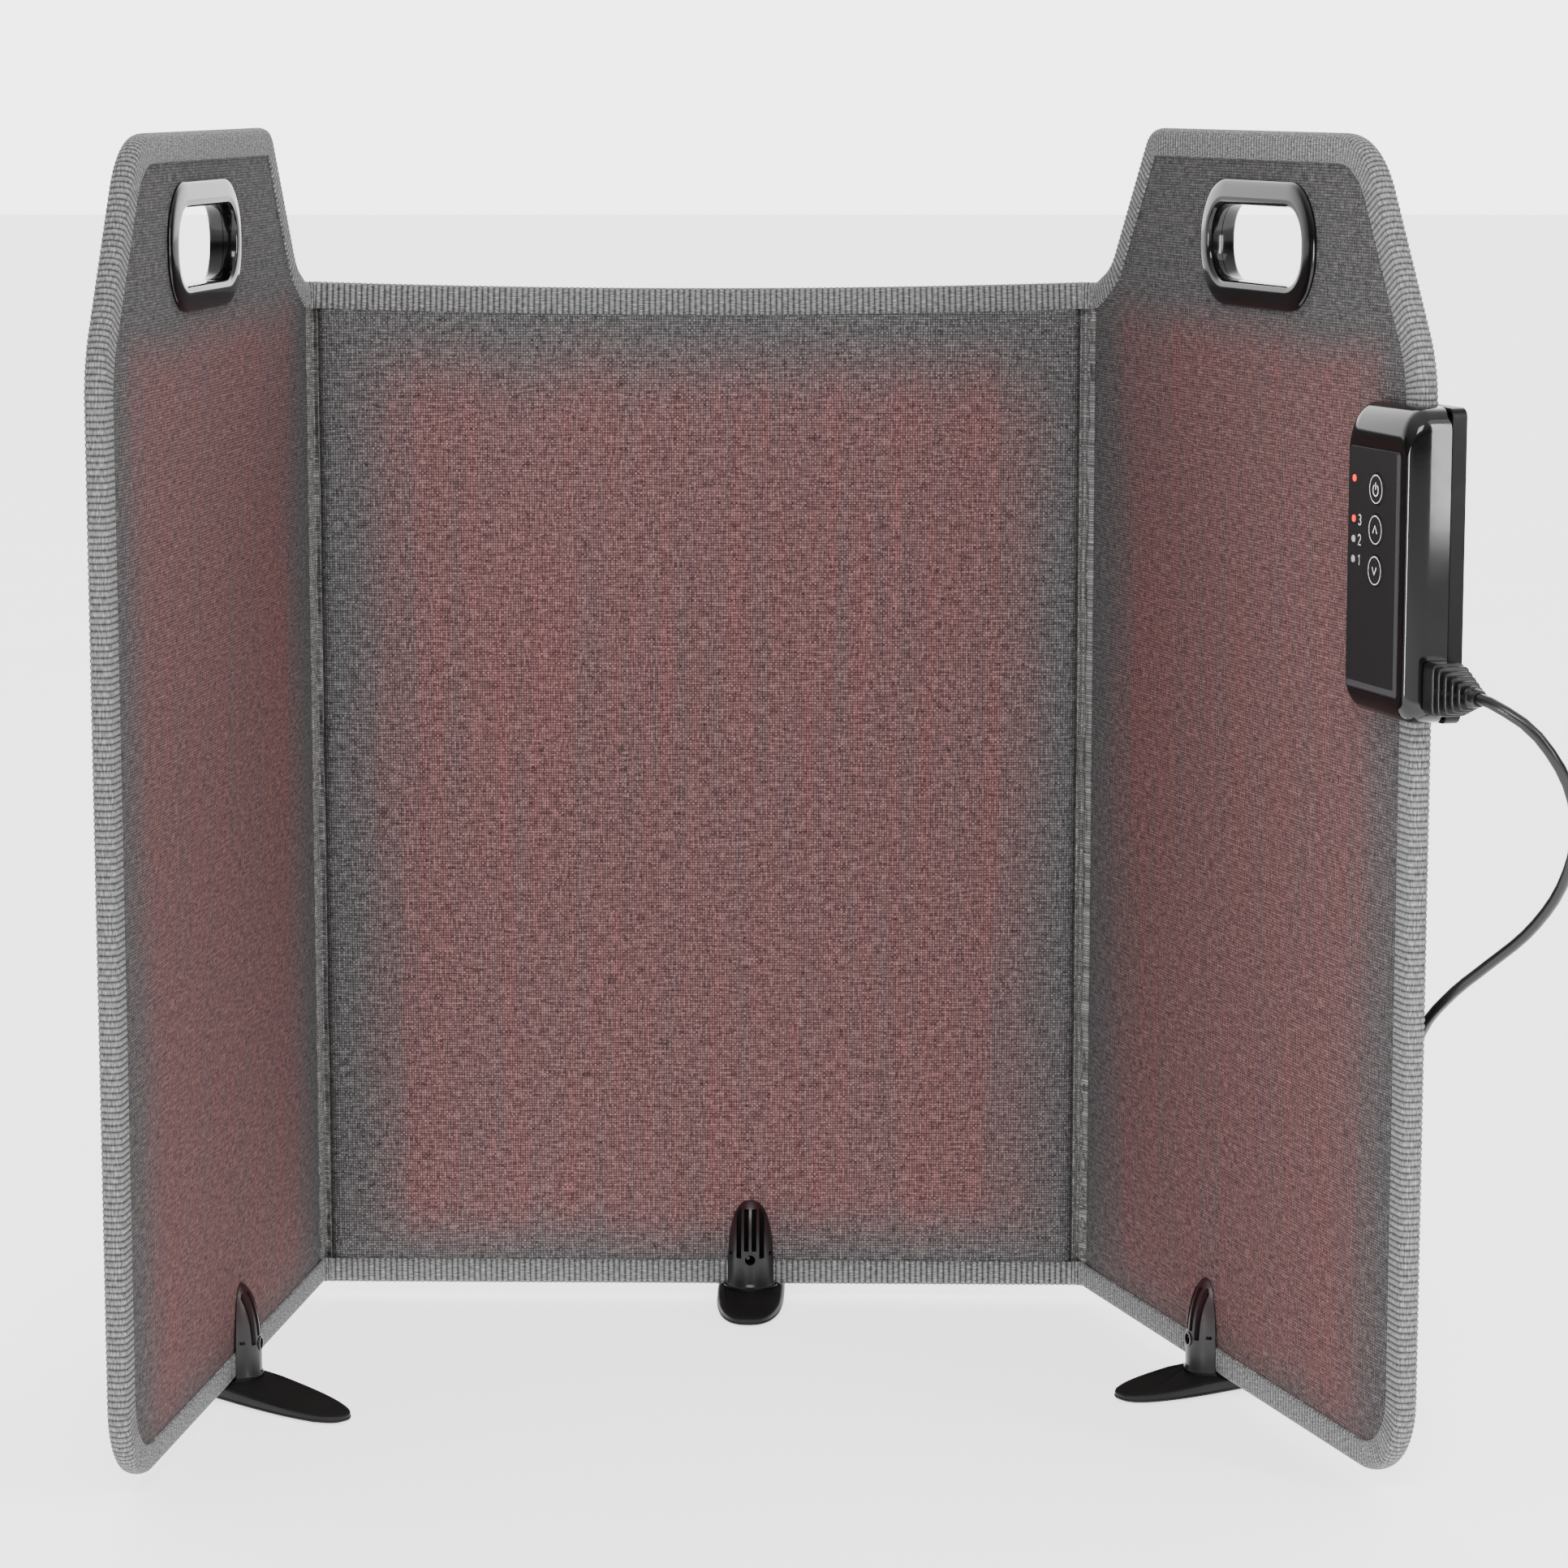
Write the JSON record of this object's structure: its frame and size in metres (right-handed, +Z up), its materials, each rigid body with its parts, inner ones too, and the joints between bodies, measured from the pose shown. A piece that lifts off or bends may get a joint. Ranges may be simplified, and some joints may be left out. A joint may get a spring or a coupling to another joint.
{
  "type": "under desk heater panel",
  "caption": "Folding fabric radiant heater that stands round the legs under a desk, with carrying tabs, turning clip-on feet and a keypad controller on a mains cord.",
  "frame": {"origin": "on the floor, under the middle of the heater's box without its cord", "axes": "+Z up, -Y the open front that the user faces, +X to the right seen from the front"},
  "size_m": [0.6315, 0.4908, 0.5834],
  "materials": {
    "melange_fabric": "woven grey melange",
    "webbing": "ribbed woven tape",
    "felt": "needled felt",
    "heating_film": "printed film",
    "fibre_board": "pressed fibre board",
    "gloss_black": "polished moulding",
    "satin_black": "satin moulding",
    "matt_black": "matt moulding",
    "black_rubber": "soft moulding",
    "face_print": "printed film face",
    "red_lens": "lit lens",
    "clear_lens": "unlit lens",
    "circuit_board": "solder mask",
    "switch_plastic": "moulded",
    "nickel": "nickel plated"
  },
  "bodies": {
    "centre_panel": {"centre_front_cover": "melange_fabric", "centre_rear_cover": "melange_fabric", "centre_heating_film": "heating_film", "centre_felt_pad": "felt", "centre_stiffener": "fibre_board", "centre_top_binding": "webbing", "centre_bottom_binding": "webbing", "hinge_strip_left": "melange_fabric", "hinge_strip_right": "melange_fabric", "clip_centre": "satin_black"},
    "wing_left": {"left_front_cover": "melange_fabric", "left_rear_cover": "melange_fabric", "left_heating_film": "heating_film", "left_felt_pad": "felt", "left_stiffener": "fibre_board", "left_binding": "webbing", "left_grommet_front": "gloss_black", "left_grommet_rear": "gloss_black", "clip_left": "satin_black"},
    "wing_right": {"right_front_cover": "melange_fabric", "right_rear_cover": "melange_fabric", "right_heating_film": "heating_film", "right_felt_pad": "felt", "right_stiffener": "fibre_board", "right_binding": "webbing", "right_grommet_front": "gloss_black", "right_grommet_rear": "gloss_black", "clip_right": "satin_black", "controller_front_shell": "gloss_black", "controller_back_shell": "gloss_black", "controller_face_plate": "face_print", "circuit_board": "circuit_board", "switch_power": "switch_plastic", "switch_up": "switch_plastic", "switch_down": "switch_plastic", "lamp_power": "red_lens", "lamp_high": "red_lens", "lamp_medium": "clear_lens", "lamp_low": "clear_lens", "strain_relief": "black_rubber", "mains_cord": "black_rubber", "cord_coil": "black_rubber", "plug_body": "black_rubber", "plug_blade_a": "nickel", "plug_blade_b": "nickel"},
    "foot_left": {"foot_left": "matt_black", "foot_left_toe_pad": "black_rubber", "foot_left_heel_pad": "black_rubber"},
    "foot_centre": {"foot_centre": "matt_black", "foot_centre_toe_pad": "black_rubber", "foot_centre_heel_pad": "black_rubber"},
    "foot_right": {"foot_right": "matt_black", "foot_right_toe_pad": "black_rubber", "foot_right_heel_pad": "black_rubber"},
    "key_power": {"key_power": "face_print"},
    "key_up": {"key_up": "face_print"},
    "key_down": {"key_down": "face_print"}
  },
  "joints": [
    {"name": "fold_left", "type": "hinge", "parent": "centre_panel", "child": "wing_left", "pos_m": [-0.23208, 0.15799, 0.258], "axis": [0, 0, 1], "range_deg": [-83.2, 30.8], "deforming": ["hinge_strip_left"]},
    {"name": "fold_right", "type": "hinge", "parent": "centre_panel", "child": "wing_right", "pos_m": [0.15392, 0.15799, 0.258], "axis": [0, 0, 1], "range_deg": [-43.9, 70.1], "deforming": ["hinge_strip_right"]},
    {"name": "foot_left_swivel", "type": "hinge", "parent": "wing_left", "child": "foot_left", "pos_m": [-0.25221, -0.01081, 0.004], "axis": [0, 0, 1], "range_deg": [-54, 126]},
    {"name": "foot_centre_swivel", "type": "hinge", "parent": "centre_panel", "child": "foot_centre", "pos_m": [-0.01408, 0.15799, 0.004], "axis": [0, 0, 1], "range_deg": [-90, 90]},
    {"name": "foot_right_swivel", "type": "hinge", "parent": "wing_right", "child": "foot_right", "pos_m": [0.20804, 0.00849, 0.004], "axis": [0, 0, 1], "range_deg": [-104, 76]},
    {"name": "key_power_press", "type": "slide", "parent": "wing_right", "child": "key_power", "axis": [0.9403, 0.3404, 0], "range_m": [0, 0.00035], "stiffness_N_per_m": 600},
    {"name": "key_up_press", "type": "slide", "parent": "wing_right", "child": "key_up", "axis": [0.9403, 0.3404, 0], "range_m": [0, 0.00035], "stiffness_N_per_m": 600},
    {"name": "key_down_press", "type": "slide", "parent": "wing_right", "child": "key_down", "axis": [0.9403, 0.3404, 0], "range_m": [0, 0.00035], "stiffness_N_per_m": 600}
  ]
}
